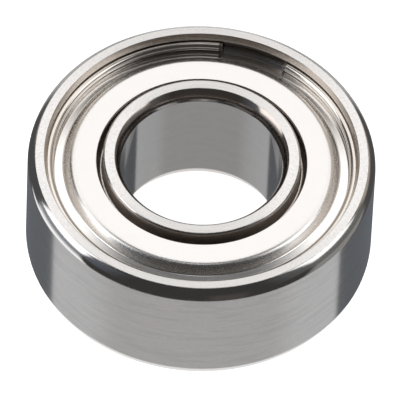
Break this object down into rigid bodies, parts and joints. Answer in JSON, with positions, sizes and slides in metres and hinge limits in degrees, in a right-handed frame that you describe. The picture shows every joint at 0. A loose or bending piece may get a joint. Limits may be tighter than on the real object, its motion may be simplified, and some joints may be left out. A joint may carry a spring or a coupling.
{
  "type": "ball bearing",
  "caption": "Shielded deep-groove ball bearing: grooved inner and outer rings with balls in a ribbon cage, and a dished shield held by a snap wire on each side.",
  "frame": {"origin": "centre of the bore, halfway between the two side faces", "axes": "+Z along the bore; the shield whose wire gap is seen faces +Z; +X passes through a clinched tab of the cage, halfway between two balls"},
  "size_m": [0.013, 0.013, 0.005],
  "materials": {
    "ring_steel": "ground bearing steel, satin with a fine grain",
    "shield_steel": "smooth pressed stainless sheet",
    "wire_steel": "drawn spring wire",
    "cage_steel": "pressed and tumbled strip",
    "ball_steel": "lapped and polished"
  },
  "bodies": {
    "outer": {"outer_ring": "ring_steel", "shield_top": "shield_steel", "shield_bottom": "shield_steel", "snap_wire_top": "wire_steel", "snap_wire_bottom": "wire_steel"},
    "inner": {"inner_ring": "ring_steel"},
    "cage": {"cage_upper": "cage_steel", "cage_lower": "cage_steel"},
    "ball_1": {"ball_1": "ball_steel"},
    "ball_2": {"ball_2": "ball_steel"},
    "ball_3": {"ball_3": "ball_steel"},
    "ball_4": {"ball_4": "ball_steel"},
    "ball_5": {"ball_5": "ball_steel"},
    "ball_6": {"ball_6": "ball_steel"},
    "ball_7": {"ball_7": "ball_steel"},
    "ball_8": {"ball_8": "ball_steel"}
  },
  "joints": [
    {"name": "inner_spin", "type": "hinge", "parent": "outer", "child": "inner", "pos_m": [0, 0, 0], "axis": [0, 0, 1], "continuous": true},
    {"name": "cage_orbit", "type": "hinge", "parent": "outer", "child": "cage", "pos_m": [0, 0, 0], "axis": [0, 0, 1], "continuous": true},
    {"name": "ball_1_spin", "type": "hinge", "parent": "cage", "child": "ball_1", "pos_m": [0.00439, 0.00182, 0], "axis": [0, 0, 1], "continuous": true},
    {"name": "ball_2_spin", "type": "hinge", "parent": "cage", "child": "ball_2", "pos_m": [0.00182, 0.00439, 0], "axis": [0, 0, 1], "continuous": true},
    {"name": "ball_3_spin", "type": "hinge", "parent": "cage", "child": "ball_3", "pos_m": [-0.00182, 0.00439, 0], "axis": [0, 0, 1], "continuous": true},
    {"name": "ball_4_spin", "type": "hinge", "parent": "cage", "child": "ball_4", "pos_m": [-0.00439, 0.00182, 0], "axis": [0, 0, 1], "continuous": true},
    {"name": "ball_5_spin", "type": "hinge", "parent": "cage", "child": "ball_5", "pos_m": [-0.00439, -0.00182, 0], "axis": [0, 0, 1], "continuous": true},
    {"name": "ball_6_spin", "type": "hinge", "parent": "cage", "child": "ball_6", "pos_m": [-0.00182, -0.00439, 0], "axis": [0, 0, 1], "continuous": true},
    {"name": "ball_7_spin", "type": "hinge", "parent": "cage", "child": "ball_7", "pos_m": [0.00182, -0.00439, 0], "axis": [0, 0, 1], "continuous": true},
    {"name": "ball_8_spin", "type": "hinge", "parent": "cage", "child": "ball_8", "pos_m": [0.00439, -0.00182, 0], "axis": [0, 0, 1], "continuous": true}
  ],
  "couplings": [
    {"joint": "cage_orbit", "follows": "inner_spin", "ratio": 0.39474},
    {"joint": "ball_1_spin", "follows": "inner_spin", "ratio": -2.2697},
    {"joint": "ball_2_spin", "follows": "inner_spin", "ratio": -2.2697},
    {"joint": "ball_3_spin", "follows": "inner_spin", "ratio": -2.2697},
    {"joint": "ball_4_spin", "follows": "inner_spin", "ratio": -2.2697},
    {"joint": "ball_5_spin", "follows": "inner_spin", "ratio": -2.2697},
    {"joint": "ball_6_spin", "follows": "inner_spin", "ratio": -2.2697},
    {"joint": "ball_7_spin", "follows": "inner_spin", "ratio": -2.2697},
    {"joint": "ball_8_spin", "follows": "inner_spin", "ratio": -2.2697}
  ]
}
